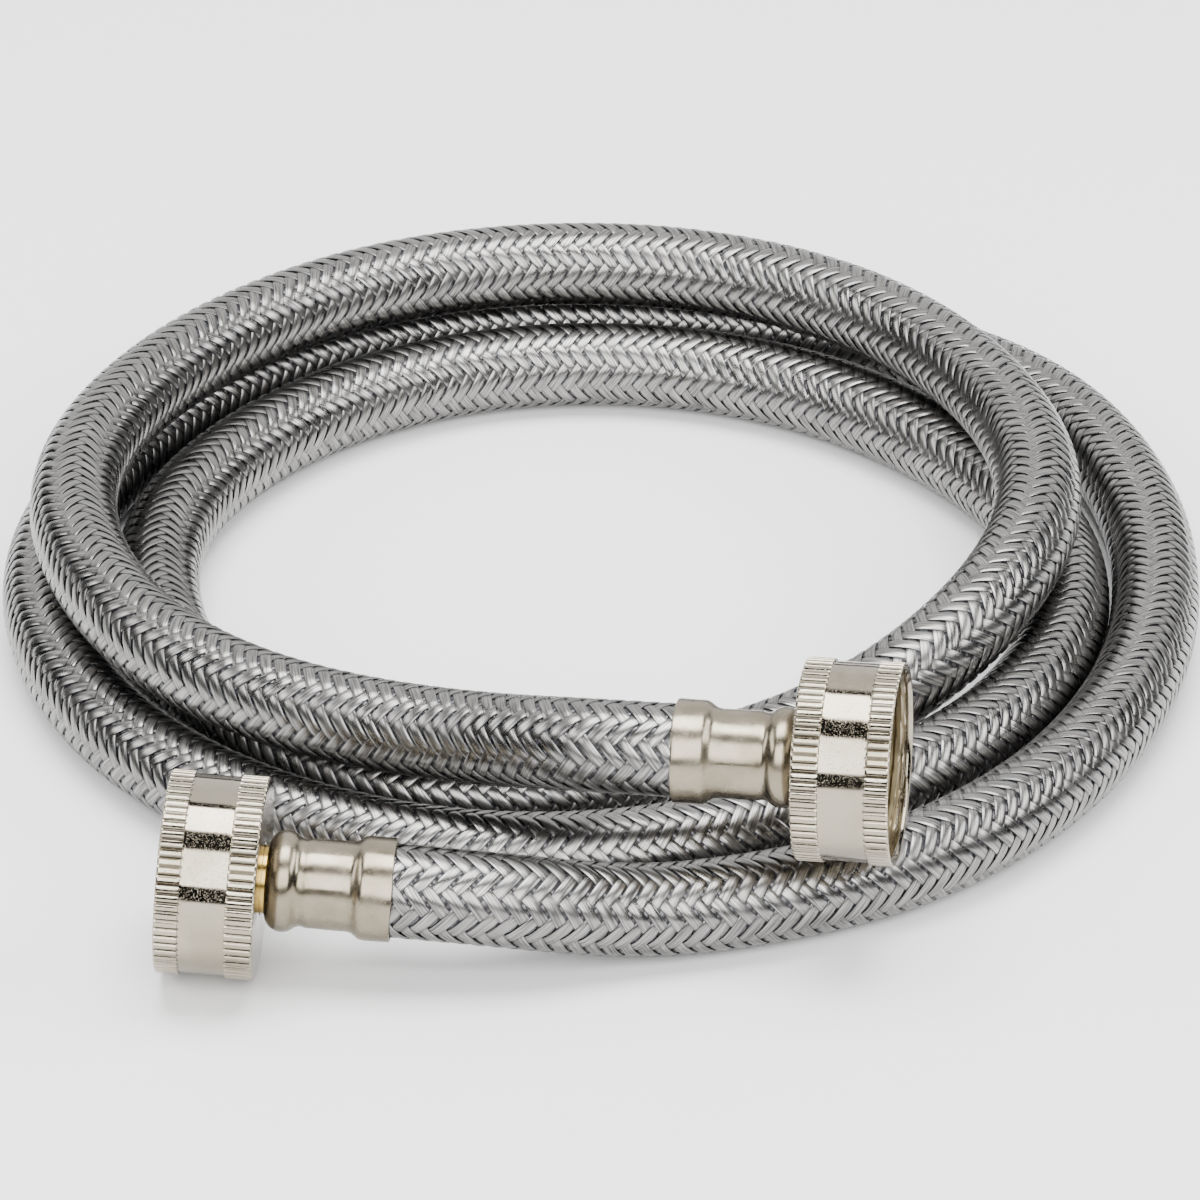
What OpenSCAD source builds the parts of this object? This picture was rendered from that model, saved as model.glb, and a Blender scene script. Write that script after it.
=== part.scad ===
// Braided steel supply hose for a washing machine, coiled three turns on a table,
// with a swivel nut for a 3/4 inch hose thread on each end.
// Millimetres, +Z up. The origin is on the table, under the middle of the coil.

/* [Hose] */
// Diameter over the steel braid
hose_od = 13.5; // [13.3:0.1:13.6]
// Diameter of the water way through the liner
hose_bore = 9.5; // [9:0.1:10]
// Thickness of the woven steel sleeve
braid_wall = 0.4; // [0.3:0.05:0.5]
// Thickness of the polyester yarn layer
yarn_wall = 0.2; // [0.15:0.05:0.3]
// Thickness of the outer skin of the tube, under the steel
cover_wall = 0.35; // [0.25:0.05:0.5]

/* [Swivel nuts] */
// Diameter over the knurled bands
nut_od = 29; // [28.8:0.1:30]
// Length of a nut
nut_length = 14; // [13.6:0.1:14.4]
// Radius of the threaded wall, at the root of the thread
thread_r = 13.6; // [13.5:0.05:13.7]
// Thickness of the wall that pulls on the stem's flange
nut_back = 2.2; // [2:0.1:2.4]
// How far a nut slides on its stem
nut_float = 1.5; // [1.2:0.1:1.5]
// How far forward the lower nut rests on its stem
nut_b_out = 0.5; // [0:0.1:1.2]
// How much lower the smooth band is than the knurled ones
band_drop = 0.35; // [0.2:0.05:0.5]

/* [Washers] */
// Diameter of a washer
washer_od = 25.8; // [25:0.1:25.8]
// Diameter of the hole in a washer
washer_id = 16; // [14:0.5:17]
// Thickness of a washer
washer_t = 3; // [2.6:0.1:3]

/* [Ferrules] */
// Length of a ferrule
ferrule_length = 18; // [17:0.5:18.5]
// Wall of the pressed steel
ferrule_wall = 0.5; // [0.4:0.05:0.5]
// Diameter over the rolled bead
bead_od = 14.5; // [13.9:0.1:14.6]
// Diameter over the crimped waist
waist_od = 12.8; // [12.7:0.1:13]
// Diameter over the collar at the hose's end
collar_od = 14.9; // [14.8:0.1:15.2]

/* [Stems] */
// Diameter of the neck that the nut slides on
neck_od = 9.8; // [9.6:0.1:9.8]
// Diameter of the flange inside the nut
flange_od = 23; // [21:0.5:24]
// Thickness of the flange
flange_t = 1.6; // [1.4:0.1:1.6]
// Diameter of the water way through the stem
stem_bore = 7; // [6:0.5:7.5]

/* [Hidden] */
$fn = 96;

// Each end of the hose: the middle of the bead's face, the heading of the hose
// as it leaves the ferrule, and its slope. The upper end lies on the coil, and
// the lower end stands on the rim of its nut.
end_a_at = [28.6, -79.6, 28.9];
end_a_heading = 170.5;
end_a_slope = -1.5;
end_b_at = [-47.1, -89, 14.6];
end_b_heading = -3.7;
end_b_slope = -3.6;

// Centre heights of the hose on the table, and of the turn that lies on it
low = hose_od / 2;
high = low + 13.65;

// The route between the two ferrules, as the poles of a smooth curve
top_turn = [
    [-18, -63, 22], [-43, -53.5, high], [-65.5, -36.5, high], [-78.5, -10, high],
    [-82.5, 15, high], [-76.5, 40, high], [-62, 64, high], [-39, 83, high],
    [-13, 91, high], [15, 90, high], [41, 77, high], [58, 56, high],
    [68, 29, high], [68, 0, 20.5], [53, -27, 16], [31, -40, 8]
];
inner_turn = [
    [4, -51, low], [-22, -55.5, low], [-46, -44, low], [-63.5, -20, low],
    [-70, 8, low], [-67, 36, low], [-48, 64, low], [-22, 80, low],
    [8, 82.5, low], [37, 72, low], [60, 48, low], [73, 21, low],
    [71.5, -10, low], [59.5, -37, low], [36, -57, low]
];
outer_turn = [
    [9, -70.5, low], [-20, -72, low], [-48, -61, low], [-71, -40, low],
    [-84.5, -10, low], [-87, 20, low], [-77, 52, low], [-55, 80.5, low],
    [-24, 95.5, low], [10, 98.5, low], [43, 91, low], [71.5, 73, low],
    [84.5, 42, low], [87, 11, low], [82.5, -21, low], [67, -53, low],
    [43, -75, low], [18, -83.5, low], [4, -86, 7]
];

// The hose starts this far behind the bead's face, and its first poles are
// this far apart, in line with the stem
hose_start = 1;
pole_gap = 16;
function aim(heading, slope) =
    [cos(heading) * cos(slope), sin(heading) * cos(slope), sin(slope)];
function end_poles(at, heading, slope) =
    [for (k = [-1 : 2]) at + aim(heading, slope) * (hose_start + k * pole_gap)];
function backwards(list) = [for (i = [len(list) - 1 : -1 : 0]) list[i]];
poles = concat(
    end_poles(end_a_at, end_a_heading, end_a_slope),
    top_turn, inner_turn, outer_turn,
    backwards(end_poles(end_b_at, end_b_heading, end_b_slope))
);

// A point of the smooth curve, and its direction there. The whole part of t
// counts the spans between poles.
spans = len(poles) - 3;
function span_of(t) = min(floor(t), spans - 1);
function route_at(t) =
    let (i = span_of(t), f = t - i)
    (poles[i] * pow(1 - f, 3)
        + poles[i + 1] * (3 * pow(f, 3) - 6 * f * f + 4)
        + poles[i + 2] * (-3 * pow(f, 3) + 3 * f * f + 3 * f + 1)
        + poles[i + 3] * pow(f, 3)) / 6;
function heading_at(t) =
    let (
        i = span_of(t), f = t - i,
        d = -poles[i] * pow(1 - f, 2)
            + poles[i + 1] * (3 * f * f - 4 * f)
            + poles[i + 2] * (-3 * f * f + 2 * f + 1)
            + poles[i + 3] * f * f
    )
    d / norm(d);

// Under the waist of each ferrule the hose wall is squeezed
waist_from = 5;
waist_to = 12.2;
collar_from = 13.6;
liner_r = (hose_bore / 2 + 0.02) / cos(18);
crimp_r = waist_od / 2 - ferrule_wall - 0.02;
squeeze = (crimp_r - liner_r) / (hose_od / 2 - liner_r);
crimp_t = (waist_to - hose_start) / pole_gap;
free_t = (collar_from - hose_start) / pole_gap;
ring_step = 0.75;
stations = concat(
    [[0, squeeze], [crimp_t, squeeze], [free_t, 1]],
    [for (t = [1 : ring_step : spans - 1]) [t, 1]],
    [[spans - free_t, 1], [spans - crimp_t, squeeze], [spans, squeeze]]
);

// One layer of the hose, swept along the route between two radii
tube_sides = 10;
function ring(t, r) =
    let (
        p = route_at(t), d = heading_at(t),
        side = cross(d, [0, 0, 1]) / norm(cross(d, [0, 0, 1])),
        up = cross(side, d)
    )
    [for (k = [0 : tube_sides - 1])
        let (a = 90 + k * 360 / tube_sides) p + r * (cos(a) * side + sin(a) * up)];
function squeezed(r, s) = liner_r + (r - liner_r) * s;

module layer(inside, outside) {
    rings = len(stations);
    n = tube_sides;
    outer = [for (s = stations) each ring(s[0], squeezed(outside, s[1]))];
    inner = [for (s = stations) each ring(s[0], squeezed(inside, s[1]))];
    base = rings * n;
    last = base - n;
    outer_faces = [for (i = [0 : rings - 2], k = [0 : n - 1])
        let (a = i * n + k, b = i * n + (k + 1) % n)
        each [[a, b, b + n], [a, b + n, a + n]]];
    inner_faces = [for (f = outer_faces) [base + f[0], base + f[2], base + f[1]]];
    start_faces = [for (k = [0 : n - 1])
        let (a = k, b = (k + 1) % n) each [[a, base + a, base + b], [a, base + b, b]]];
    end_faces = [for (k = [0 : n - 1])
        let (a = last + k, b = last + (k + 1) % n)
        each [[a, b, base + b], [a, base + b, base + a]]];
    polyhedron(
        points = concat(outer, inner),
        faces = concat(outer_faces, inner_faces, start_faces, end_faces)
    );
}

// Radii where one layer of the hose gives way to the next
skin_gap = 0.04;
braid_in = hose_od / 2 - braid_wall;
cover_out = braid_in - skin_gap;
cover_in = cover_out - cover_wall;
yarn_out = cover_in - skin_gap;
yarn_in = yarn_out - yarn_wall;
tube_out = yarn_in - skin_gap;

// Stations along an end fitting, measured from the bead's face. The hose is on
// the plus side, and the nut is on the minus side.
seat_gap = 0.1;
rest_gap = 0.05;
flange_back = -(seat_gap + nut_back + nut_float + rest_gap);
flange_face = flange_back - flange_t;
washer_back = flange_face - rest_gap;
washer_face = washer_back - washer_t;
pocket_r = washer_od / 2 + 0.3;
neck_hole_r = neck_od / 2 + 0.3;
tail_r = hose_bore / 2 - 0.05;
barb_r = hose_bore / 2;
thread_lead = 0.6;
edge = 0.4;
knurl_back = 4;
knurl_front = 3.4;

module at_end_a() {
    translate(end_a_at) rotate([0, -end_a_slope, end_a_heading]) rotate([0, 90, 0]) children();
}

module at_end_b() {
    translate(end_b_at) rotate([0, -end_b_slope, end_b_heading]) rotate([0, 90, 0]) children();
}

// Turned brass insert: a flange for the nut to pull on, a neck, and a tail with
// two barbs inside the liner
module stem() {
    rotate_extrude() polygon([
        [stem_bore / 2, flange_face], [flange_od / 2 - 0.3, flange_face],
        [flange_od / 2, flange_face + 0.3], [flange_od / 2, flange_back],
        [neck_od / 2, flange_back], [neck_od / 2, hose_start - 0.05],
        [tail_r - 0.15, hose_start - 0.05], [tail_r - 0.15, 3.6],
        [barb_r, 3.8], [tail_r - 0.15, 6.6], [tail_r - 0.15, 7.4],
        [barb_r, 7.6], [tail_r - 0.15, 10.4], [tail_r - 0.15, 15.2],
        [tail_r - 0.7, 16], [stem_bore / 2, 16]
    ]);
}

// Pressed ferrule: a rolled bead closed round the stem, a crimped waist and a
// wider collar that the hose enters
module ferrule() {
    w = ferrule_wall;
    bead_r = bead_od / 2;
    waist_r = waist_od / 2;
    collar_r = collar_od / 2;
    roll = waist_from / 2;
    arc = [for (a = [-80 : 12.5 : 45]) [bead_r - roll + roll * cos(a), roll + roll * sin(a)]];
    inner_arc = [for (a = [45 : -12.5 : -80])
        [bead_r - roll + (roll - w) * cos(a), roll + (roll - w) * sin(a)]];
    rotate_extrude() polygon(concat(
        [[neck_od / 2 + 0.05, 0]],
        arc,
        [
            [waist_r, waist_from], [waist_r, waist_to],
            [collar_r, collar_from], [collar_r, ferrule_length - 0.3],
            [collar_r - 0.2, ferrule_length], [collar_r - w, ferrule_length],
            [collar_r - w, collar_from + 0.1], [waist_r - w, waist_to + 0.2],
            [waist_r - w, waist_from]
        ],
        inner_arc,
        [[neck_od / 2 + 0.05, w]]
    ));
}

// Flat rubber washer that seals on the stem's flange
module washer() {
    translate([0, 0, washer_face]) difference() {
        cylinder(h = washer_t, d = washer_od);
        translate([0, 0, -1]) cylinder(h = washer_t + 2, d = washer_id);
    }
}

// Swivel nut: two knurled bands with a smooth band between them, a pocket for
// the flange and washer, and the threaded wall in front
module nut() {
    back = -seat_gap;
    front = back - nut_length;
    r = nut_od / 2;
    band_r = r - band_drop;
    rotate_extrude() polygon([
        [neck_hole_r, back], [r - 1, back], [r, back - 1],
        [r, back - knurl_back], [band_r, back - knurl_back],
        [band_r, front + knurl_front], [r, front + knurl_front],
        [r, front + edge], [r - edge, front], [thread_r + 0.3, front],
        [thread_r, front + thread_lead], [thread_r, washer_face - 0.1],
        [pocket_r, washer_face - 0.1], [pocket_r, back - nut_back],
        [neck_hole_r, back - nut_back]
    ]);
}

module inner_tube() { color([0.16, 0.16, 0.17]) layer(liner_r, tube_out); }
module yarn_layer() { color([0.86, 0.84, 0.78]) layer(yarn_in, yarn_out); }
module tube_cover() { color([0.1, 0.1, 0.11]) layer(cover_in, cover_out); }
module steel_braid() { color([0.66, 0.66, 0.67]) layer(braid_in, hose_od / 2); }
module stem_a() { color([0.78, 0.63, 0.32]) at_end_a() stem(); }
module stem_b() { color([0.78, 0.63, 0.32]) at_end_b() stem(); }
module ferrule_a() { color([0.8, 0.77, 0.72]) at_end_a() ferrule(); }
module ferrule_b() { color([0.8, 0.77, 0.72]) at_end_b() ferrule(); }
module washer_a() { color([0.08, 0.08, 0.08]) at_end_a() washer(); }
// The lower nut is pulled a little forward on its stem, and its washer goes with it
module washer_b() {
    color([0.08, 0.08, 0.08]) at_end_b() translate([0, 0, -nut_b_out]) washer();
}
module nut_a() { color([0.82, 0.8, 0.76]) at_end_a() nut(); }
module nut_b() { color([0.82, 0.8, 0.76]) at_end_b() translate([0, 0, -nut_b_out]) nut(); }

inner_tube();
yarn_layer();
tube_cover();
steel_braid();
stem_a();
stem_b();
ferrule_a();
ferrule_b();
washer_a();
washer_b();
nut_a();
nut_b();
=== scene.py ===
import math
import bpy
import numpy as np
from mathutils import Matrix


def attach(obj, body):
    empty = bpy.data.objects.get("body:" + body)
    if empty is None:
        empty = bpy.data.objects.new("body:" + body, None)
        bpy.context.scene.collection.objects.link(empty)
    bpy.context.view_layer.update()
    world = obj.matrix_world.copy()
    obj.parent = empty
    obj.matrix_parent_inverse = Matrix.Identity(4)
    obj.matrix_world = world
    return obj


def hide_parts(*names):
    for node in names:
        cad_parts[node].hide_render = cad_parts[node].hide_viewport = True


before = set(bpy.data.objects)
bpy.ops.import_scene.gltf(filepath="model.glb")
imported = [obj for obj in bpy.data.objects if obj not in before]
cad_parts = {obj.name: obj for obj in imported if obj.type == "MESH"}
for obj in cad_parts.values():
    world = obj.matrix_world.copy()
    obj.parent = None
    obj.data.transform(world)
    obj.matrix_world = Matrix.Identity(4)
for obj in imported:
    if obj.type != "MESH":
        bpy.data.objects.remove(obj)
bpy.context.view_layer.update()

# Braided steel supply hose in a loose coil of three turns, with a swivel nut
# for a 3/4 inch hose thread on each end. Metres, +Z up, floor at Z = 0.
scene = bpy.context.scene
MM = 0.001
TURN = 2 * math.pi

# --- Camera -------------------------------------------------------------

camera_data = bpy.data.cameras.new("camera")
camera_data.sensor_width = 36
camera_data.lens = 206.1
camera_data.clip_start = 0.05
camera_data.clip_end = 20
camera = bpy.data.objects.new("camera", camera_data)
camera.location = (0, -0.9113, 0.535)
camera.rotation_euler = (math.radians(60), 0, 0)
scene.collection.objects.link(camera)
scene.camera = camera

# --- Route of the hose --------------------------------------------------

# Each end: the middle of the ferrule's bead face, and the heading and slope of
# the hose as it leaves the ferrule, in degrees
END_A = ((0.0286, -0.0796, 0.0289), 170.5, -1.5)
END_B = ((-0.0471, -0.089, 0.0146), -3.7, -3.6)
HOSE_R = 0.00675
HOSE_START = 0.001
POLE_GAP = 0.016
LOW = 0.00675
HIGH = 0.0204
TOP_TURN = [
    (-0.018, -0.063, 0.022), (-0.043, -0.0535, HIGH), (-0.0655, -0.0365, HIGH),
    (-0.0785, -0.01, HIGH), (-0.0825, 0.015, HIGH), (-0.0765, 0.04, HIGH),
    (-0.062, 0.064, HIGH), (-0.039, 0.083, HIGH), (-0.013, 0.091, HIGH),
    (0.015, 0.09, HIGH), (0.041, 0.077, HIGH), (0.058, 0.056, HIGH),
    (0.068, 0.029, HIGH), (0.068, 0, 0.0205), (0.053, -0.027, 0.016),
    (0.031, -0.04, 0.008),
]
INNER_TURN = [
    (0.004, -0.051, LOW), (-0.022, -0.0555, LOW), (-0.046, -0.044, LOW),
    (-0.0635, -0.02, LOW), (-0.07, 0.008, LOW), (-0.067, 0.036, LOW),
    (-0.048, 0.064, LOW), (-0.022, 0.08, LOW), (0.008, 0.0825, LOW),
    (0.037, 0.072, LOW), (0.06, 0.048, LOW), (0.073, 0.021, LOW),
    (0.0715, -0.01, LOW), (0.0595, -0.037, LOW), (0.036, -0.057, LOW),
]
OUTER_TURN = [
    (0.009, -0.0705, LOW), (-0.02, -0.072, LOW), (-0.048, -0.061, LOW),
    (-0.071, -0.04, LOW), (-0.0845, -0.01, LOW), (-0.087, 0.02, LOW),
    (-0.077, 0.052, LOW), (-0.055, 0.0805, LOW), (-0.024, 0.0955, LOW),
    (0.01, 0.0985, LOW), (0.043, 0.091, LOW), (0.0715, 0.073, LOW),
    (0.0845, 0.042, LOW), (0.087, 0.011, LOW), (0.0825, -0.021, LOW),
    (0.067, -0.053, LOW), (0.043, -0.075, LOW), (0.018, -0.0835, LOW),
    (0.004, -0.086, 0.007),
]


def aim(heading, slope):
    """Unit vector along the hose where it leaves a ferrule."""
    h, s = math.radians(heading), math.radians(slope)
    return np.array([math.cos(h) * math.cos(s), math.sin(h) * math.cos(s), math.sin(s)])


def end_poles(at, heading, slope):
    """The four poles in line with a stem."""
    return [np.array(at) + aim(heading, slope) * (HOSE_START + k * POLE_GAP) for k in range(-1, 3)]


poles = np.array(
    end_poles(*END_A) + TOP_TURN + INNER_TURN + OUTER_TURN + end_poles(*END_B)[::-1], dtype=float
)
spans = len(poles) - 3


def spline(t):
    """Points of the smooth curve through the poles' hull, and its directions."""
    i = np.minimum(t.astype(int), spans - 1)
    f = (t - i)[:, None]
    a, b, c, d = poles[i], poles[i + 1], poles[i + 2], poles[i + 3]
    point = (a * (1 - f) ** 3 + b * (3 * f**3 - 6 * f * f + 4)
             + c * (-3 * f**3 + 3 * f * f + 3 * f + 1) + d * f**3) / 6
    way = -a * (1 - f) ** 2 + b * (3 * f * f - 4 * f) + c * (-3 * f * f + 2 * f + 1) + d * f * f
    return point, way / np.linalg.norm(way, axis=1)[:, None]


fine_t = np.linspace(0, spans, spans * 120 + 1)
fine_points = spline(fine_t)[0]
fine_s = np.concatenate([[0], np.cumsum(np.linalg.norm(np.diff(fine_points, axis=0), axis=1))])
hose_length = fine_s[-1]

# Under the waist of each ferrule the wall of the hose is squeezed
CRIMP_END = 0.0112
CRIMP_FREE = 0.0126
BORE_R = 0.00477
CRIMP_SHARE = 0.56


def around_hose(s, turn, r):
    """Points at a distance s along the hose, an angle round it and a radius, as arrays."""
    middle, way = spline(np.interp(s.ravel(), fine_s, fine_t))
    side = np.cross(way, (0, 0, 1))
    side /= np.linalg.norm(side, axis=1)[:, None]
    up = np.cross(side, way)
    from_end = np.minimum(s, hose_length - s)
    share = np.interp(from_end, (CRIMP_END, CRIMP_FREE), (CRIMP_SHARE, 1))
    r = (BORE_R + (r - BORE_R) * share).ravel()[:, None]
    turn = turn.ravel()[:, None]
    return (middle + r * (np.cos(turn) * side + np.sin(turn) * up)).reshape(s.shape + (3,))


# --- Meshes -------------------------------------------------------------

# Edges that turn more than this, in degrees, stay crisp
TUBE_SHARP = 40
FITTING_SHARP = 32


def quad_piece(name, blocks, material, body, sharp=None):
    """One piece of the hose from grids of points.

    A block is (points, uv, rows close, columns close, whether the grid winds the other way round).
    """
    points, quads, uvs = [], [], []
    count = 0
    for grid, uv, rows_close, columns_close, other_way in blocks:
        rows, columns = grid.shape[:2]
        number = count + np.arange(rows * columns).reshape(rows, columns)
        if rows_close:
            number = np.vstack([number, number[:1]])
        if columns_close:
            number = np.hstack([number, number[:, :1]])
        order = (0, 1, 2, 3) if other_way else (0, 3, 2, 1)
        near, far = slice(None, -1), slice(1, None)
        corner = [(near, near), (near, far), (far, far), (far, near)]
        quads.append(np.stack([number[corner[k]] for k in order], axis=-1).reshape(-1, 4))
        uvs.append(np.stack([uv[corner[k]] for k in order], axis=2).reshape(-1, 2))
        points.append(grid.reshape(-1, 3))
        count += rows * columns
    mesh = bpy.data.meshes.new(name)
    mesh.from_pydata(np.concatenate(points).tolist(), [], np.concatenate(quads).tolist())
    mesh.uv_layers.new(name="surface").data.foreach_set("uv", np.concatenate(uvs).ravel())
    mesh.shade_smooth()
    if sharp:
        mesh.set_sharp_from_angle(angle=math.radians(sharp))
    mesh.materials.append(material)
    piece = bpy.data.objects.new(name, mesh)
    scene.collection.objects.link(piece)
    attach(piece, body)
    return piece


def swept_tube(name, inside, outside, sides, step, material):
    """One layer of the hose, with its outer wall, inner wall and rims."""
    stops = np.concatenate([
        np.linspace(0, CRIMP_FREE, 5),
        np.arange(CRIMP_FREE + step, hose_length - CRIMP_FREE - step / 2, step),
        np.linspace(hose_length - CRIMP_FREE, hose_length, 5),
    ])
    loop_s = np.concatenate([stops, stops[::-1]])
    loop_r = np.concatenate([np.full(len(stops), outside), np.full(len(stops), inside)])
    turns = np.linspace(0, TURN, sides + 1)
    s, turn = np.meshgrid(loop_s, turns, indexing="ij")
    r = np.repeat(loop_r[:, None], sides + 1, axis=1)
    grid = around_hose(s, turn, r)[:, :-1]
    uv = np.stack([turn / TURN, s / MM], axis=-1)
    uv = np.concatenate([uv, uv[:1]])
    return quad_piece(name, [(grid, uv, True, True, False)], material, "hose", TUBE_SHARP)


def around_end(end, u, turn, r):
    """Points of an end fitting: u along the stem towards the hose, an angle round it and a radius."""
    at, heading, slope = end
    way = aim(heading, slope)
    side = np.cross(way, (0, 0, 1))
    side /= np.linalg.norm(side)
    up = np.cross(side, way)
    u, turn, r = u[..., None], turn[..., None], r[..., None]
    return np.array(at) + u * way + r * (np.cos(turn) * side + np.sin(turn) * up)


def turned_piece(name, end, profile, columns, material, body, shape=None, shift=0.0):
    """A ring or sleeve round a stem, turned by a Screw from a closed profile of (u, r) in millimetres.

    A shape function, where the piece has one, works it over before it is put on its stem.
    """
    outline = np.array(profile) * MM
    count = len(outline)
    cage = bpy.data.meshes.new(name)
    cage.from_pydata([(r, 0, -u) for u, r in outline], [(k, (k + 1) % count) for k in range(count)], [])
    piece = bpy.data.objects.new(name, cage)
    scene.collection.objects.link(piece)
    screw = piece.modifiers.new("turned", "SCREW")
    screw.axis = "Z"
    screw.angle = TURN
    screw.steps = columns
    screw.render_steps = columns
    # Faces point outwards whichever way round the profile was given
    after = np.roll(outline, -1, axis=0)
    screw.use_normal_flip = bool((outline[:, 0] * after[:, 1] - after[:, 0] * outline[:, 1]).sum() > 0)
    mesh = bpy.data.meshes.new_from_object(piece.evaluated_get(bpy.context.evaluated_depsgraph_get()))
    piece.modifiers.clear()
    piece.data = mesh
    bpy.data.meshes.remove(cage)
    mesh.name = name

    points = np.empty(len(mesh.vertices) * 3)
    mesh.vertices.foreach_get("co", points)
    points = points.reshape(columns, count, 3).transpose(1, 0, 2)
    turn = np.repeat(np.arange(columns)[None, :] * TURN / columns, count, axis=0)
    u, r = -points[:, :, 2], np.hypot(points[:, :, 0], points[:, :, 1])
    if shape:
        u, r = shape(u, turn, r)
    grid = around_end(end, u + shift * MM, turn, r).transpose(1, 0, 2)
    mesh.vertices.foreach_set("co", grid.ravel())

    corners = np.empty(len(mesh.loops), dtype=np.int32)
    mesh.loops.foreach_get("vertex_index", corners)
    corners = corners.reshape(-1, 4)
    ring, place = corners // count, corners % count
    last = (ring.max(axis=1) == columns - 1)[:, None] & (ring == 0)
    walk = np.concatenate([[0], np.cumsum(np.linalg.norm(np.diff(outline, axis=0), axis=1))]) / MM
    uv = np.stack([np.where(last, columns, ring) / columns, walk[place]], axis=-1)
    mesh.uv_layers.new(name="surface").data.foreach_set("uv", uv.ravel())
    mesh.update()
    mesh.shade_smooth()
    mesh.set_sharp_from_angle(angle=math.radians(FITTING_SHARP))
    mesh.materials.append(material)
    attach(piece, body)
    return piece


def arc(u, r, size, first, last, steps):
    """Points of a rounded edge round (u, r), between two angles in degrees from +u."""
    return [(u + size * math.cos(math.radians(a)), r + size * math.sin(math.radians(a)))
            for a in np.linspace(first, last, steps)]


# --- Materials ----------------------------------------------------------

def metal(name, colour, shade, tone_scale, rough, lines, line_depth, pits, inner, inner_from, teeth):
    """Turned, pressed or plated metal.

    It has two tones, another one inside, worn gloss, tool lines, pits, and grime with painted shade in the
    grooves of any knurl.
    """
    material = bpy.data.materials.new(name)
    material.use_nodes = True
    nodes, links = material.node_tree.nodes, material.node_tree.links
    nodes.clear()

    place = nodes.new("NodeFrame")
    place.label = "Place"
    tone = nodes.new("NodeFrame")
    tone.label = "Tone"
    gloss = nodes.new("NodeFrame")
    gloss.label = "Gloss"
    relief = nodes.new("NodeFrame")
    relief.label = "Tool lines and pits"
    # Grime and painted shade: the grooves of the knurled bands are darkened, partly as dirt and partly as
    # the shade that falls in them
    painted_shade_and_grime = nodes.new("NodeFrame")
    painted_shade_and_grime.label = "Grime and painted shade in the knurl"

    spot = nodes.new("ShaderNodeTexCoord")
    spot.label = "Object"
    spot.location = (-1300, 200)
    spot.parent = place
    surface = nodes.new("ShaderNodeUVMap")
    surface.label = "Round and along"
    surface.location = (-1300, -200)
    surface.parent = place
    stretch = nodes.new("ShaderNodeMapping")
    stretch.label = "Stretch round the axis"
    stretch.location = (-1100, -200)
    stretch.parent = place
    patches = nodes.new("ShaderNodeTexNoise")
    patches.label = "Stains"
    patches.location = (-800, 500)
    patches.parent = tone
    balance = nodes.new("ShaderNodeValToRGB")
    balance.label = "How stained"
    balance.location = (-600, 500)
    balance.parent = tone
    mixed = nodes.new("ShaderNodeMix")
    mixed.label = "Tone"
    mixed.location = (-300, 500)
    mixed.parent = tone
    parts = nodes.new("ShaderNodeSeparateXYZ")
    parts.label = "Along"
    parts.location = (-800, 750)
    parts.parent = tone
    inside = nodes.new("ShaderNodeMapRange")
    inside.label = "How far inside"
    inside.location = (-600, 750)
    inside.parent = tone
    thinned = nodes.new("ShaderNodeMix")
    thinned.label = "Thin plating inside"
    thinned.location = (-100, 500)
    thinned.parent = tone
    count = nodes.new("ShaderNodeMath")
    count.label = "Teeth round"
    count.location = (-1100, 1100)
    count.parent = painted_shade_and_grime
    tooth = nodes.new("ShaderNodeMath")
    tooth.label = "Place on a tooth"
    tooth.location = (-900, 1100)
    tooth.parent = painted_shade_and_grime
    off = nodes.new("ShaderNodeMath")
    off.label = "From the groove"
    off.location = (-700, 1100)
    off.parent = painted_shade_and_grime
    size = nodes.new("ShaderNodeMath")
    size.label = "How far"
    size.location = (-500, 1100)
    size.parent = painted_shade_and_grime
    groove = nodes.new("ShaderNodeMapRange")
    groove.label = "In the groove"
    groove.location = (-300, 1100)
    groove.parent = painted_shade_and_grime
    middle = nodes.new("ShaderNodeMath")
    middle.label = "From the smooth band"
    middle.location = (-1100, 1350)
    middle.parent = painted_shade_and_grime
    both = nodes.new("ShaderNodeMath")
    both.label = "On both sides"
    both.location = (-900, 1350)
    both.parent = painted_shade_and_grime
    bands = nodes.new("ShaderNodeMath")
    bands.label = "On the knurled bands"
    bands.location = (-700, 1350)
    bands.parent = painted_shade_and_grime
    groove_shade_and_grime = nodes.new("ShaderNodeMath")
    groove_shade_and_grime.label = "Grooves of the bands"
    groove_shade_and_grime.location = (-100, 1200)
    groove_shade_and_grime.parent = painted_shade_and_grime
    shaded_and_grimed = nodes.new("ShaderNodeMix")
    shaded_and_grimed.label = "Grime and painted shade in the grooves"
    shaded_and_grimed.location = (50, 600)
    shaded_and_grimed.parent = painted_shade_and_grime
    handled = nodes.new("ShaderNodeTexNoise")
    handled.label = "Handling"
    handled.location = (-800, 150)
    handled.parent = gloss
    spread = nodes.new("ShaderNodeMapRange")
    spread.label = "Roughness"
    spread.location = (-600, 150)
    spread.parent = gloss
    grain = nodes.new("ShaderNodeTexNoise")
    grain.label = "Tool lines"
    grain.location = (-800, -200)
    grain.parent = relief
    rougher = nodes.new("ShaderNodeMath")
    rougher.label = "Rougher inside"
    rougher.location = (-350, 150)
    rougher.parent = gloss
    specks = nodes.new("ShaderNodeTexNoise")
    specks.label = "Specks"
    specks.location = (-800, -500)
    specks.parent = relief
    only = nodes.new("ShaderNodeMapRange")
    only.label = "Only the deepest"
    only.location = (-600, -500)
    only.parent = relief
    line_bump = nodes.new("ShaderNodeBump")
    line_bump.label = "Lines"
    line_bump.location = (-350, -200)
    line_bump.parent = relief
    pit_bump = nodes.new("ShaderNodeBump")
    pit_bump.label = "Pits"
    pit_bump.location = (-150, -350)
    pit_bump.parent = relief
    shader = nodes.new("ShaderNodeBsdfPrincipled")
    shader.label = name
    shader.location = (300, 200)
    output = nodes.new("ShaderNodeOutputMaterial")
    output.location = (600, 200)

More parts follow.
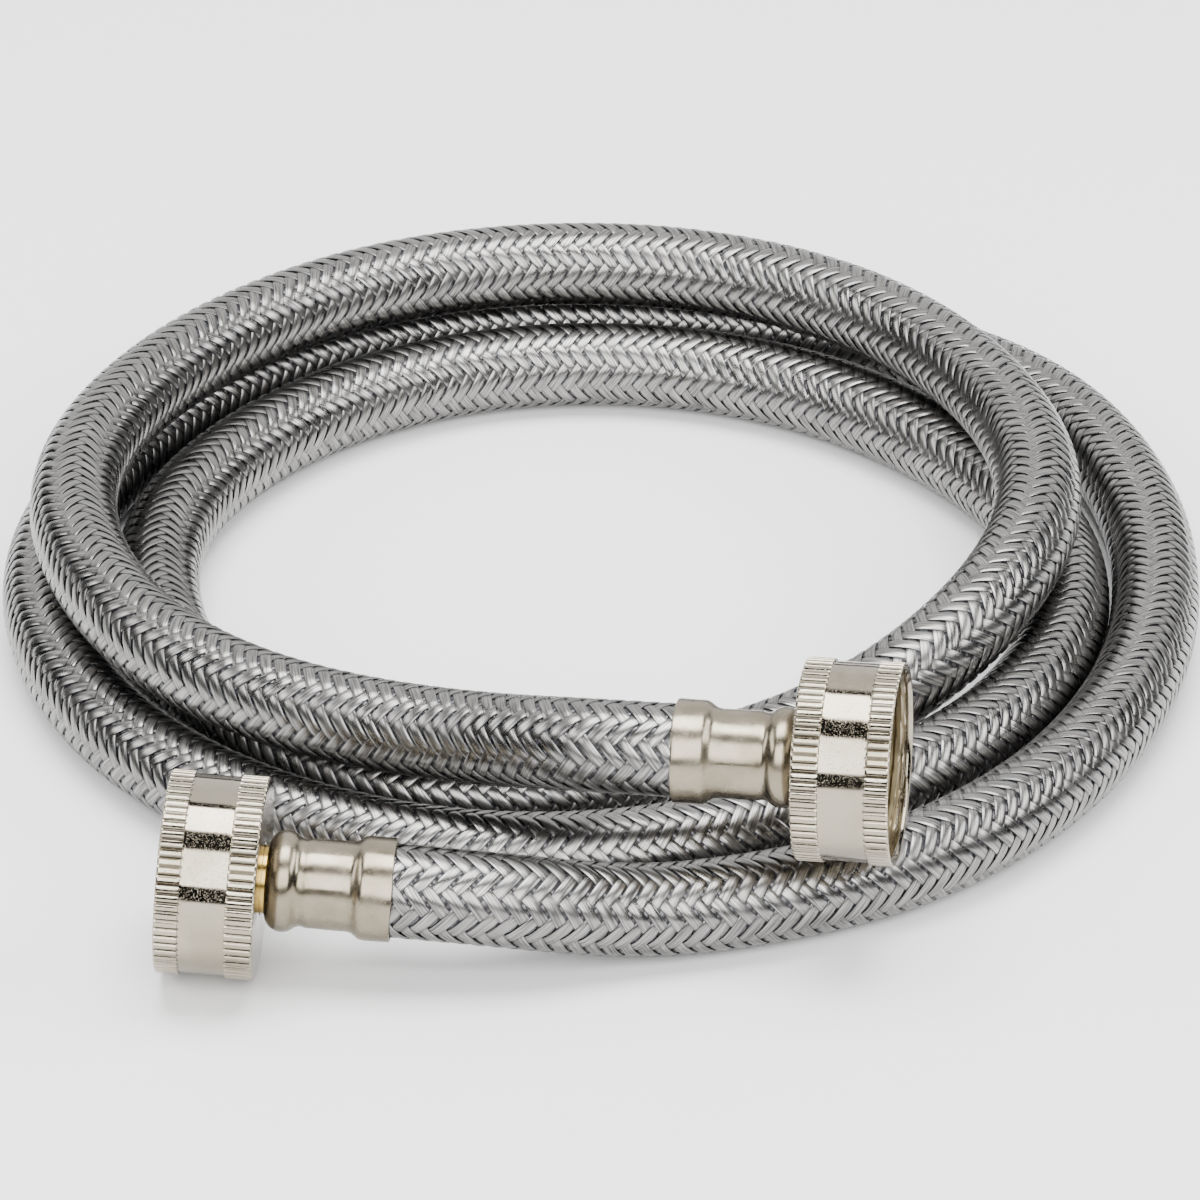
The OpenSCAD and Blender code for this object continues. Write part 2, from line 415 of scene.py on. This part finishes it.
    surface.uv_map = "surface"
    stretch.inputs["Scale"].default_value = (*lines, 1)
    patches.inputs["Scale"].default_value = tone_scale
    patches.inputs["Detail"].default_value = 5
    balance.color_ramp.elements[0].position = 0.42
    balance.color_ramp.elements[1].position = 0.68
    mixed.data_type = "RGBA"
    mixed.inputs["A"].default_value = (*colour, 1)
    mixed.inputs["B"].default_value = (*shade, 1)
    inside.inputs["From Min"].default_value = inner_from
    inside.inputs["From Max"].default_value = inner_from + 1.5
    thinned.data_type = "RGBA"
    thinned.inputs["B"].default_value = (*inner, 1)
    count.operation = "MULTIPLY"
    count.inputs[1].default_value = teeth
    tooth.operation = "FRACT"
    off.operation = "SUBTRACT"
    off.inputs[1].default_value = 0.625
    size.operation = "ABSOLUTE"
    # Mask of the grooves that get the grime and painted shade
    groove.inputs["From Min"].default_value = 0.22
    groove.inputs["From Max"].default_value = 0.08
    groove.inputs["To Max"].default_value = 0.8
    middle.operation = "SUBTRACT"
    middle.inputs[1].default_value = 18.2
    both.operation = "ABSOLUTE"
    bands.operation = "COMPARE"
    bands.inputs[1].default_value = 5.2
    bands.inputs[2].default_value = 1.75
    groove_shade_and_grime.operation = "MULTIPLY"
    # The dark brown stands for grime and painted shade in the grooves
    shaded_and_grimed.data_type = "RGBA"
    shaded_and_grimed.inputs["B"].default_value = (0.05, 0.045, 0.035, 1)
    handled.inputs["Scale"].default_value = 260
    handled.inputs["Detail"].default_value = 4
    spread.inputs["From Min"].default_value = 0.3
    spread.inputs["From Max"].default_value = 0.7
    spread.inputs["To Min"].default_value = rough[0]
    spread.inputs["To Max"].default_value = rough[1]
    rougher.operation = "MULTIPLY_ADD"
    rougher.inputs[1].default_value = 0.3
    grain.inputs["Scale"].default_value = 1
    grain.inputs["Detail"].default_value = 3
    specks.inputs["Scale"].default_value = 6500
    specks.inputs["Detail"].default_value = 2
    only.inputs["From Min"].default_value = 0.64
    only.inputs["From Max"].default_value = 0.76
    line_bump.inputs["Strength"].default_value = 0.5
    line_bump.inputs["Distance"].default_value = line_depth
    pit_bump.invert = True
    pit_bump.inputs["Strength"].default_value = 0.6
    pit_bump.inputs["Distance"].default_value = pits
    shader.inputs["Metallic"].default_value = 1

    links.new(surface.outputs["UV"], stretch.inputs["Vector"])
    links.new(spot.outputs["Object"], patches.inputs["Vector"])
    links.new(patches.outputs["Fac"], balance.inputs["Fac"])
    links.new(balance.outputs["Color"], mixed.inputs["Factor"])
    links.new(surface.outputs["UV"], parts.inputs["Vector"])
    links.new(parts.outputs["Y"], inside.inputs["Value"])
    links.new(inside.outputs["Result"], thinned.inputs["Factor"])
    links.new(mixed.outputs["Result"], thinned.inputs["A"])
    links.new(parts.outputs["X"], count.inputs[0])
    links.new(count.outputs["Value"], tooth.inputs[0])
    links.new(tooth.outputs["Value"], off.inputs[0])
    links.new(off.outputs["Value"], size.inputs[0])
    links.new(size.outputs["Value"], groove.inputs["Value"])
    links.new(parts.outputs["Y"], middle.inputs[0])
    links.new(middle.outputs["Value"], both.inputs[0])
    links.new(both.outputs["Value"], bands.inputs[0])
    links.new(groove.outputs["Result"], groove_shade_and_grime.inputs[0])
    links.new(bands.outputs["Value"], groove_shade_and_grime.inputs[1])
    links.new(groove_shade_and_grime.outputs["Value"], shaded_and_grimed.inputs["Factor"])
    links.new(thinned.outputs["Result"], shaded_and_grimed.inputs["A"])
    links.new(shaded_and_grimed.outputs["Result"], shader.inputs["Base Color"])
    links.new(spot.outputs["Object"], handled.inputs["Vector"])
    links.new(handled.outputs["Fac"], spread.inputs["Value"])
    links.new(inside.outputs["Result"], rougher.inputs[0])
    links.new(spread.outputs["Result"], rougher.inputs[2])
    links.new(rougher.outputs["Value"], shader.inputs["Roughness"])
    links.new(stretch.outputs["Vector"], grain.inputs["Vector"])
    links.new(spot.outputs["Object"], specks.inputs["Vector"])
    links.new(specks.outputs["Fac"], only.inputs["Value"])
    links.new(grain.outputs["Fac"], line_bump.inputs["Height"])
    links.new(only.outputs["Result"], pit_bump.inputs["Height"])
    links.new(line_bump.outputs["Normal"], pit_bump.inputs["Normal"])
    links.new(pit_bump.outputs["Normal"], shader.inputs["Normal"])
    links.new(shader.outputs["BSDF"], output.inputs["Surface"])
    return material


def woven_steel():
    """Flat ribbons of bright steel wires, side by side, with painted shade along their edges and where they
    pass under others.
    """
    material = bpy.data.materials.new("woven_steel")
    material.use_nodes = True
    nodes, links = material.node_tree.nodes, material.node_tree.links
    nodes.clear()

    place = nodes.new("NodeFrame")
    place.label = "Place"
    tone = nodes.new("NodeFrame")
    tone.label = "Wire by wire tone"
    gloss = nodes.new("NodeFrame")
    gloss.label = "Gloss"
    relief = nodes.new("NodeFrame")
    relief.label = "Round wires"
    # Painted shade: the steel colour is darkened near each ribbon's edges and where a ribbon passes under
    # the others
    shade = nodes.new("NodeFrame")
    shade.label = "Painted shade at edges and under ribbons"

    spot = nodes.new("ShaderNodeTexCoord")
    spot.label = "Object"
    spot.location = (-1500, 400)
    spot.parent = place
    surface = nodes.new("ShaderNodeUVMap")
    surface.label = "Across and along a ribbon"
    surface.location = (-1500, 0)
    surface.parent = place
    stretch = nodes.new("ShaderNodeMapping")
    stretch.label = "Stretch along the wires"
    stretch.location = (-1250, 150)
    stretch.parent = place
    parts = nodes.new("ShaderNodeSeparateXYZ")
    parts.label = "Across"
    parts.location = (-1250, -250)
    parts.parent = relief
    streaks = nodes.new("ShaderNodeTexNoise")
    streaks.label = "Wire tones"
    streaks.location = (-1000, 500)
    streaks.parent = tone
    ramp = nodes.new("ShaderNodeValToRGB")
    ramp.label = "Steel"
    ramp.location = (-750, 500)
    ramp.parent = tone
    film = nodes.new("ShaderNodeTexNoise")
    film.label = "Handling"
    film.location = (-1000, 150)
    film.parent = gloss
    spread = nodes.new("ShaderNodeMapRange")
    spread.label = "Roughness"
    spread.location = (-750, 150)
    spread.parent = gloss
    edge = nodes.new("ShaderNodeMath")
    edge.label = "Place across"
    edge.location = (-1000, -550)
    edge.parent = shade
    edge_painted_shade = nodes.new("ShaderNodeMapRange")
    edge_painted_shade.label = "Painted shade near an edge"
    edge_painted_shade.location = (-600, -550)
    edge_painted_shade.parent = shade
    sides = nodes.new("ShaderNodeMath")
    sides.label = "From both edges"
    sides.location = (-800, -550)
    sides.parent = shade
    weave = nodes.new("ShaderNodeMath")
    weave.label = "Over two, under two"
    weave.location = (-1000, -800)
    weave.parent = shade
    height = nodes.new("ShaderNodeMath")
    height.label = "Height in the weave"
    height.location = (-800, -800)
    height.parent = shade
    under_painted_shade = nodes.new("ShaderNodeMapRange")
    under_painted_shade.label = "Painted shade under the others"
    under_painted_shade.location = (-600, -800)
    under_painted_shade.parent = shade
    darkest = nodes.new("ShaderNodeMath")
    darkest.label = "The darker"
    darkest.location = (-400, -650)
    darkest.parent = shade
    painted_shade_and_grime = nodes.new("ShaderNodeMix")
    painted_shade_and_grime.label = "Painted shade in the weave"
    painted_shade_and_grime.location = (-350, 500)
    painted_shade_and_grime.parent = shade
    phase = nodes.new("ShaderNodeMath")
    phase.label = "Seven wires"
    phase.location = (-1000, -250)
    phase.parent = relief
    wave = nodes.new("ShaderNodeMath")
    wave.label = "Wave"
    wave.location = (-800, -250)
    wave.parent = relief
    round_off = nodes.new("ShaderNodeMath")
    round_off.label = "Round wires"
    round_off.location = (-600, -250)
    round_off.parent = relief
    bump = nodes.new("ShaderNodeBump")
    bump.label = "Wires"
    bump.location = (-350, -250)
    bump.parent = relief
    shader = nodes.new("ShaderNodeBsdfPrincipled")
    shader.label = "Woven steel"
    shader.location = (-50, 200)
    output = nodes.new("ShaderNodeOutputMaterial")
    output.location = (250, 200)

    surface.uv_map = "surface"
    stretch.inputs["Scale"].default_value = (7, 0.35, 1)
    streaks.inputs["Scale"].default_value = 1
    streaks.inputs["Detail"].default_value = 2
    ramp.color_ramp.elements[0].position = 0.32
    ramp.color_ramp.elements[0].color = (0.095, 0.093, 0.092, 1)
    ramp.color_ramp.elements[1].position = 0.68
    ramp.color_ramp.elements[1].color = (0.34, 0.332, 0.318, 1)
    film.inputs["Scale"].default_value = 160
    film.inputs["Detail"].default_value = 3
    spread.inputs["From Min"].default_value = 0.3
    spread.inputs["From Max"].default_value = 0.7
    spread.inputs["To Min"].default_value = 0.23
    spread.inputs["To Max"].default_value = 0.34
    edge.operation = "FRACT"
    sides.operation = "PINGPONG"
    sides.inputs[1].default_value = 0.5
    # Painted shade near the edges of a ribbon
    edge_painted_shade.inputs["From Min"].default_value = 0.075
    edge_painted_shade.inputs["From Max"].default_value = 0.02
    edge_painted_shade.inputs["To Max"].default_value = 0.85
    weave.operation = "MULTIPLY_ADD"
    weave.inputs[1].default_value = math.pi / 2
    weave.inputs[2].default_value = -math.pi / 4
    height.operation = "COSINE"
    # Painted shade where a ribbon dips under the others
    under_painted_shade.inputs["From Min"].default_value = 0.15
    under_painted_shade.inputs["From Max"].default_value = -0.5
    under_painted_shade.inputs["To Max"].default_value = 0.85
    darkest.operation = "MAXIMUM"
    # The near-black colour that the painted shade darkens the steel towards
    painted_shade_and_grime.data_type = "RGBA"
    painted_shade_and_grime.inputs["B"].default_value = (0.05, 0.05, 0.055, 1)
    phase.operation = "MULTIPLY"
    phase.inputs[1].default_value = 7 * math.pi
    wave.operation = "SINE"
    round_off.operation = "ABSOLUTE"
    bump.inputs["Strength"].default_value = 0.1
    bump.inputs["Distance"].default_value = 0.00002
    shader.inputs["Metallic"].default_value = 1

    links.new(surface.outputs["UV"], stretch.inputs["Vector"])
    links.new(stretch.outputs["Vector"], streaks.inputs["Vector"])
    links.new(streaks.outputs["Fac"], ramp.inputs["Fac"])
    links.new(parts.outputs["X"], edge.inputs[0])
    links.new(edge.outputs["Value"], sides.inputs[0])
    links.new(sides.outputs["Value"], edge_painted_shade.inputs["Value"])
    links.new(parts.outputs["Y"], weave.inputs[0])
    links.new(weave.outputs["Value"], height.inputs[0])
    links.new(height.outputs["Value"], under_painted_shade.inputs["Value"])
    links.new(edge_painted_shade.outputs["Result"], darkest.inputs[0])
    links.new(under_painted_shade.outputs["Result"], darkest.inputs[1])
    links.new(darkest.outputs["Value"], painted_shade_and_grime.inputs["Factor"])
    links.new(ramp.outputs["Color"], painted_shade_and_grime.inputs["A"])
    links.new(painted_shade_and_grime.outputs["Result"], shader.inputs["Base Color"])
    links.new(spot.outputs["Object"], film.inputs["Vector"])
    links.new(film.outputs["Fac"], spread.inputs["Value"])
    links.new(spread.outputs["Result"], shader.inputs["Roughness"])
    links.new(surface.outputs["UV"], parts.inputs["Vector"])
    links.new(parts.outputs["X"], phase.inputs[0])
    links.new(phase.outputs["Value"], wave.inputs[0])
    links.new(wave.outputs["Value"], round_off.inputs[0])
    links.new(round_off.outputs["Value"], bump.inputs["Height"])
    links.new(bump.outputs["Normal"], shader.inputs["Normal"])
    links.new(shader.outputs["BSDF"], output.inputs["Surface"])
    return material


def dull(name, colour, shade, tone_scale, rough, grain_scale, depth):
    """Rubber, yarn or paint without shine: two tones, uneven gloss and a fine grain."""
    material = bpy.data.materials.new(name)
    material.use_nodes = True
    nodes, links = material.node_tree.nodes, material.node_tree.links
    nodes.clear()

    tone = nodes.new("NodeFrame")
    tone.label = "Tone"
    gloss = nodes.new("NodeFrame")
    gloss.label = "Gloss"
    relief = nodes.new("NodeFrame")
    relief.label = "Grain"

    spot = nodes.new("ShaderNodeTexCoord")
    spot.label = "Object"
    spot.location = (-1100, 100)
    patches = nodes.new("ShaderNodeTexNoise")
    patches.label = "Dust"
    patches.location = (-850, 400)
    patches.parent = tone
    mixed = nodes.new("ShaderNodeMix")
    mixed.label = "Tone"
    mixed.location = (-600, 400)
    mixed.parent = tone
    worn = nodes.new("ShaderNodeTexNoise")
    worn.label = "Wear"
    worn.location = (-850, 100)
    worn.parent = gloss
    spread = nodes.new("ShaderNodeMapRange")
    spread.label = "Roughness"
    spread.location = (-600, 100)
    spread.parent = gloss
    grain = nodes.new("ShaderNodeTexNoise")
    grain.label = "Grain"
    grain.location = (-850, -200)
    grain.parent = relief
    bump = nodes.new("ShaderNodeBump")
    bump.label = "Grain"
    bump.location = (-600, -200)
    bump.parent = relief
    shader = nodes.new("ShaderNodeBsdfPrincipled")
    shader.label = name
    shader.location = (-250, 150)
    output = nodes.new("ShaderNodeOutputMaterial")
    output.location = (50, 150)

    patches.inputs["Scale"].default_value = tone_scale
    patches.inputs["Detail"].default_value = 4
    mixed.data_type = "RGBA"
    mixed.inputs["A"].default_value = (*colour, 1)
    mixed.inputs["B"].default_value = (*shade, 1)
    worn.inputs["Scale"].default_value = tone_scale * 1.7
    spread.inputs["To Min"].default_value = rough[0]
    spread.inputs["To Max"].default_value = rough[1]
    grain.inputs["Scale"].default_value = grain_scale
    grain.inputs["Detail"].default_value = 3
    bump.inputs["Strength"].default_value = 0.4
    bump.inputs["Distance"].default_value = depth

    links.new(spot.outputs["Object"], patches.inputs["Vector"])
    links.new(patches.outputs["Fac"], mixed.inputs["Factor"])
    links.new(mixed.outputs["Result"], shader.inputs["Base Color"])
    links.new(spot.outputs["Object"], worn.inputs["Vector"])
    links.new(worn.outputs["Fac"], spread.inputs["Value"])
    links.new(spread.outputs["Result"], shader.inputs["Roughness"])
    links.new(spot.outputs["Object"], grain.inputs["Vector"])
    links.new(grain.outputs["Fac"], bump.inputs["Height"])
    links.new(bump.outputs["Normal"], shader.inputs["Normal"])
    links.new(shader.outputs["BSDF"], output.inputs["Surface"])
    return material


# A profile's walk in millimetres never gets this far, so such a piece has no plating inside
NEVER = 200
nickel = metal(
    "nickel_plate", (0.36, 0.322, 0.252), (0.275, 0.24, 0.18), 90, rough=(0.03, 0.1),
    lines=(3, 6), line_depth=0.00005, pits=0.00008, inner=(0.27, 0.22, 0.13), inner_from=26.5, teeth=68)
pressed = metal(
    "pressed_steel", (0.29, 0.254, 0.193), (0.21, 0.178, 0.128), 140, rough=(0.18, 0.34),
    lines=(34, 1.6), line_depth=0.00003, pits=0.00001, inner=(0.3, 0.28, 0.24), inner_from=NEVER, teeth=0)
brass = metal(
    "turned_brass", (0.56, 0.38, 0.11), (0.42, 0.27, 0.07), 150, rough=(0.14, 0.26),
    lines=(3, 8), line_depth=0.00001, pits=0.00001, inner=(0.4, 0.27, 0.08), inner_from=NEVER, teeth=0)
steel = woven_steel()
liner_rubber = dull(
    "liner_rubber", (0.03, 0.03, 0.032), (0.05, 0.05, 0.052), 60,
    rough=(0.5, 0.7), grain_scale=900, depth=0.00003)
cover_rubber = dull(
    "cover_rubber", (0.018, 0.018, 0.022), (0.035, 0.035, 0.042), 60,
    rough=(0.4, 0.6), grain_scale=900, depth=0.00003)
washer_rubber = dull(
    "washer_rubber", (0.025, 0.025, 0.026), (0.045, 0.043, 0.04), 90,
    rough=(0.45, 0.65), grain_scale=1200, depth=0.00003)
yarn = dull(
    "polyester_yarn", (0.76, 0.73, 0.66), (0.62, 0.59, 0.52), 120,
    rough=(0.75, 0.95), grain_scale=1800, depth=0.0001)

# --- Hose ---------------------------------------------------------------

# The water way, the yarn and the outer skin of the tube, all under the steel
LAYER_STEP = 0.004
inner_tube = swept_tube("liner", BORE_R, 0.00572, 24, LAYER_STEP, liner_rubber)
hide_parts("inner_tube")
yarn_layer = swept_tube("yarn", 0.00576, 0.00592, 24, LAYER_STEP, yarn)
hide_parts("yarn_layer")
tube_cover = swept_tube("tube_skin", 0.00596, 0.00631, 36, 0.0025, cover_rubber)
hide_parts("tube_cover")

# Twelve ribbons wind each way, over two and under two. A place on the braid is
# told by the ribbons that cross there: q counts crossings round and along, and
# x runs across a ribbon from edge to edge.
# A ribbon goes once round the hose in one lead, over 24 crossings, and its weave repeats every four.
LEAD = 0.0305
CROSSINGS = 24
CROSSING_TURN = TURN / CROSSINGS
CYCLE = 4
HALF_WIDTH = 0.405
BRAID_START = 0.0006
END_MARGIN = 0.3
ROW_AT = np.array([-0.5, -0.25, 0.1, 0.5, 0.9, 1.25, 1.5, 1.75, 2.5, 3.25])
ROW_DROP = np.array([0.12, 0.04, 0.008, 0, 0.008, 0.04, 0.12, 0.2, 0.235, 0.2]) * MM
ACROSS = np.array([-1, -0.88, -0.4, 0.4, 0.88, 1])
ACROSS_DROP = 0.1 * MM * ACROSS**4
# How unevenly the ribbons lie, and how many crossings lie between two such changes
KNOT_GAP = 1.7
WANDER = 0.022
UNEVEN_WIDTH = 0.025
TILT = 0.008 * MM
SINK = 0.005 * MM
chance = np.random.default_rng(11)


def ribbon(index, way):
    """One ribbon of the braid. way is 1 for those that wind one way and -1 for the others."""
    first = CROSSINGS * BRAID_START / LEAD
    last = CROSSINGS * (hose_length - BRAID_START) / LEAD
    if way > 0:
        low, high, offset = first + 2 * index, last + 2 * index, 0
    else:
        low, high, offset = 2 * index - last, 2 * index - first, 2
    cycles = np.arange(math.floor((low - CYCLE) / CYCLE), math.ceil((high + CYCLE) / CYCLE) + 1)
    q = (cycles[:, None] * CYCLE + ROW_AT[None, :] + offset).ravel()
    drop = np.tile(ROW_DROP, len(cycles))
    keep = (q > low - END_MARGIN) & (q < high + END_MARGIN)
    q, drop = q[keep], drop[keep]
    knots = np.arange(math.floor(q[0]) - 2, math.ceil(q[-1]) + 3, KNOT_GAP)
    wander = np.interp(q, knots, chance.normal(0, WANDER, len(knots)))
    width = HALF_WIDTH * (1 + np.interp(q, knots, chance.normal(0, UNEVEN_WIDTH, len(knots))))
    tilt = np.interp(q, knots, chance.normal(0, TILT, len(knots)))
    rise = np.interp(q, knots, chance.normal(0, SINK, len(knots)))
    x = ACROSS[None, :]
    v = wander[:, None] + width[:, None] * x
    turn = CROSSING_TURN * (q[:, None] + v)
    along = LEAD / CROSSINGS * way * (q[:, None] - 2 * index - v)
    along = np.clip(along, BRAID_START, hose_length - BRAID_START)
    r = HOSE_R - drop[:, None] - ACROSS_DROP[None, :] + tilt[:, None] * x - np.abs(rise)[:, None]
    r = np.minimum(r, HOSE_R)
    across = (x + 1) / 2 + 4 * index + 1 - way
    uv = np.stack(np.broadcast_arrays(across, q[:, None] - offset), axis=-1)
    return around_hose(along, turn, r), uv, False, False, way < 0


for group in range(6):
    way, start = (1 if group < 3 else -1), group % 3 * 4
    blocks = [ribbon(index, way) for index in range(start, start + 4)]
    piece = quad_piece(f"braid_ribbons_{group + 1}", blocks, steel, "hose")
    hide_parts("steel_braid")

# --- End fittings -------------------------------------------------------

TEETH = 68
TOOTH = np.array([0, 0, 0, 0.1, 0.75, 1, 0.75, 0.1])
TOOTH_DEPTH = 0.3 * MM
THREAD_PITCH = 2.209
THREAD_HEIGHT = 0.95 * MM
# Radii of a nut in millimetres: over the knurl, over the smooth band, and at the root of the thread
KNURL_R = 14.5
BAND_R = 14.15
ROOT_R = 13.6
# Where a nut's back face stands, and how deep its thread begins and ends, in millimetres
NUT_BACK = -0.1
THREAD_FROM = 8.5
THREAD_FADES_TO = 13.75


def nut_shape(u, turn, r):
    """Cuts the knurl into the two proud bands, and raises the thread inside."""
    column = np.arange(r.shape[1]) % len(TOOTH)
    toothed = np.minimum(r, KNURL_R * MM - TOOTH_DEPTH * TOOTH[column][None, :])
    knurl = np.where(r > (BAND_R + 0.01) * MM, toothed, r)
    x = NUT_BACK - u / MM
    phase = (x / THREAD_PITCH - turn / TURN) % 1
    ridge = np.clip(2.2 - np.abs(phase - 0.5) * 7, 0, 1)
    fade = np.clip((x - THREAD_FROM - 0.05) / 0.7, 0, 1) * np.clip((THREAD_FADES_TO - x) / 1.1, 0, 1)
    inside = (np.abs(r - ROOT_R * MM) < 0.01 * MM) & (x > THREAD_FROM)
    return u, np.where(inside, r - THREAD_HEIGHT * ridge * fade, knurl)


def swivel_nut(name, end, body, shift, stands_for):
    """Knurled nut that turns on its stem, mouth away from the hose."""
    outline = [(2.1, 5.2), (0.25, 5.2), (0.08, 5.28), (0, 5.45), (0, 8.2), (0, 11), (0, 13.2)]
    outline += arc(0.5, 14, 0.5, 180, 90, 6)
    outline += [(x, KNURL_R) for x in (1.1, 1.8, 2.5, 3.3, 3.82)]
    outline += [(3.95, 14.43), (4, 14.33), (4.02, 14.17)]
    outline += [(x, BAND_R) for x in (4.16, 5, 6.2, 7.4, 8.6, 9.8, 10.44)]
    outline += [(10.58, 14.17), (10.6, 14.33), (10.65, 14.43)]
    outline += [(x, KNURL_R) for x in (10.78, 11.3, 12, 12.7)]
    outline += arc(13.65, 14.15, 0.35, 90, 0, 6)
    outline += [(13.97, 14.02), (13.88, 13.9), (13.7, 13.75), (13.5, 13.62), (13.44, ROOT_R)]
    outline += [(x, ROOT_R) for x in np.arange(13.36, 8.6, -0.14)]
    outline += [(8.52, ROOT_R), (8.5, 13.5), (8.5, 13.25), (8.44, 13.2), (6, 13.2), (3.6, 13.2),
                (2.35, 13.2), (2.2, 13.05), (2.2, 9), (2.2, 5.35)]
    profile = [(NUT_BACK - x, r) for x, r in outline]
    nut = turned_piece(name, end, profile, TEETH * len(TOOTH), nickel, body, nut_shape, shift)
    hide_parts(stands_for)
    return nut


def ferrule_shape(u, turn, r):
    """Eight faint crimp faces on the waist, and a collar that isn't quite round."""
    x = u / MM
    outside = (r > 6.2 * MM) & (x > 4.9)
    face = (turn + 0.3) % (TURN / 8) - TURN / 16
    crimp = math.cos(TURN / 16) / np.cos(face) - 1
    waist = np.clip((x - 5.3) / 1.2, 0, 1) * np.clip((12.4 - x) / 1, 0, 1)
    flare = np.clip((x - 14.4) / 3.6, 0, 1) ** 2
    swell = 0.09 * np.sin(2 * turn + 0.8) + 0.05 * np.sin(3 * turn + 2.1) + 0.03 * np.sin(7 * turn)
    r = np.where(outside, r * (1 + 0.14 * crimp * waist), r) + np.where(x > 14.4, flare * swell * MM, 0)
    u = u + flare * MM * (0.1 * np.sin(turn + 1.2) + 0.05 * np.sin(4 * turn))
    return u, r


def crimped_ferrule(name, end, stands_for):
    """Pressed sleeve: rolled bead round the stem, crimped waist and collar over the hose."""
    profile = [(0, 4.97)] + [(2.5 + 2.5 * math.sin(math.radians(a)), 4.85 + 2.4 * math.cos(math.radians(a)))
                             for a in np.linspace(-86, 48, 20)]
    profile += [(4.6, 6.36), (4.85, 6.25), (5.1, 6.22), (5.4, 6.26), (5.75, 6.38), (6.1, 6.43),
                (6.8, 6.44), (8, 6.44), (9.2, 6.44), (10.4, 6.44), (11.4, 6.44), (11.95, 6.46),
                (12.3, 6.53), (12.65, 6.7), (13, 6.95), (13.35, 7.2), (13.7, 7.36), (14.1, 7.43),
                (14.6, 7.45), (15.4, 7.45), (16.4, 7.46), (17.3, 7.48), (17.75, 7.48), (17.93, 7.43),
                (18, 7.3), (18, 7.1), (17.9, 7)]
    profile += [(16.4, 6.95), (14, 6.95), (13.4, 6.78), (12.8, 6.3), (12.3, 5.95), (11.6, 5.9), (8, 5.9),
                (5.6, 5.9), (4.7, 5.88)]
    profile += [(2.5 + 2 * math.sin(math.radians(a)), 4.85 + 1.9 * math.cos(math.radians(a)))
                for a in np.linspace(40, -86, 9)]
    profile += [(0.5, 4.97)]
    ferrule = turned_piece(name, end, profile, 160, pressed, "hose", ferrule_shape)
    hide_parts(stands_for)
    return ferrule


def brass_stem(name, end, stands_for):
    """Turned insert: flange inside the nut, neck, and a barbed tail inside the liner."""
    profile = [(-5.45, 3.65), (-5.45, 8), (-5.45, 11.1), (-5.36, 11.35), (-5.1, 11.5), (-4.1, 11.5),
               (-3.93, 11.42), (-3.85, 11.25), (-3.85, 7), (-3.85, 5.1), (-3.75, 4.93), (-3.5, 4.9),
               (-2, 4.9), (-0.7, 4.9), (0.4, 4.9), (0.85, 4.88), (0.95, 4.75),
               (0.95, 4.6), (1.6, 4.55), (3.6, 4.55), (3.78, 4.74), (6.6, 4.55), (7.4, 4.55), (7.58, 4.74),
               (10.4, 4.55), (15.2, 4.55), (15.7, 4.3), (15.95, 4.05), (16, 3.8), (15.9, 3.55), (15.7, 3.5),
               (8, 3.5), (0, 3.5), (-5.2, 3.5), (-5.38, 3.54)]
    stem = turned_piece(name, end, profile, 96, brass, "hose")
    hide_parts(stands_for)
    return stem


def seal_washer(name, end, body, shift, stands_for):
    """Flat rubber washer on the flange."""
    profile = arc(-8.2, 12.6, 0.3, 180, 90, 5) + arc(-5.8, 12.6, 0.3, 90, 0, 5)
    profile += arc(-5.75, 8.25, 0.25, 0, -90, 5) + arc(-8.25, 8.25, 0.25, -90, -180, 5)
    washer = turned_piece(name, end, profile, 96, washer_rubber, body, None, shift)
    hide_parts(stands_for)
    return washer


stem_a = brass_stem("stem_upper", END_A, "stem_a")
stem_b = brass_stem("stem_lower", END_B, "stem_b")
ferrule_a = crimped_ferrule("ferrule_upper", END_A, "ferrule_a")
ferrule_b = crimped_ferrule("ferrule_lower", END_B, "ferrule_b")
# The lower nut is pulled a little forward on its stem, in millimetres, and its washer goes with it
LOWER_NUT_SHIFT = -0.5
washer_a = seal_washer("washer_upper", END_A, "washer_a", 0, "washer_a")
washer_b = seal_washer("washer_lower", END_B, "washer_b", LOWER_NUT_SHIFT, "washer_b")
nut_a = swivel_nut("nut_upper", END_A, "nut_a", 0, "nut_a")
nut_b = swivel_nut("nut_lower", END_B, "nut_b", LOWER_NUT_SHIFT, "nut_b")

# --- Floor and light ----------------------------------------------------

floor_paint = dull("floor_paint", (0.86, 0.86, 0.86), (0.84, 0.84, 0.84), 3, (0.7, 0.8), 400, 0.00002)
floor_mesh = bpy.data.meshes.new("floor")
floor_mesh.from_pydata([(-4, -4, 0), (4, -4, 0), (4, 4, 0), (-4, 4, 0)], [], [(0, 1, 2, 3)])
floor_mesh.materials.append(floor_paint)
floor = bpy.data.objects.new("floor", floor_mesh)
scene.collection.objects.link(floor)

world = bpy.data.worlds.new("studio")
world.use_nodes = True
sky = world.node_tree.nodes["Background"]
sky.inputs["Color"].default_value = (0.92, 0.95, 1, 1)
sky.inputs["Strength"].default_value = 0.025
scene.world = world

# Panels of soft light: overhead, in front, behind the coil and at its sides. Each has its power,
# place, tilt in degrees about X and Y, and size
for name, power, place, tilt, size in (
    ("overhead", 22, (0, 0.065, 1), (0, 0), (0.9, 0.58)),
    ("front", 44, (0, -1.14, 0.86), (54, 0), (1.8, 1.03)),
    ("back", 20, (0, 1.27, 0.83), (-58, 0), (2.4, 1.6)),
    ("left", 10, (-1.15, -0.05, 0.85), (0, -54), (0.4, 1.2)),
    ("right", 14, (1.15, -0.05, 0.85), (0, 54), (0.4, 1.2)),
):
    panel = bpy.data.lights.new(name, "AREA")
    panel.shape = "RECTANGLE"
    panel.size, panel.size_y = size
    panel.energy = power
    lamp = bpy.data.objects.new(name, panel)
    lamp.location = place
    lamp.rotation_euler = (math.radians(tilt[0]), math.radians(tilt[1]), 0)
    scene.collection.objects.link(lamp)
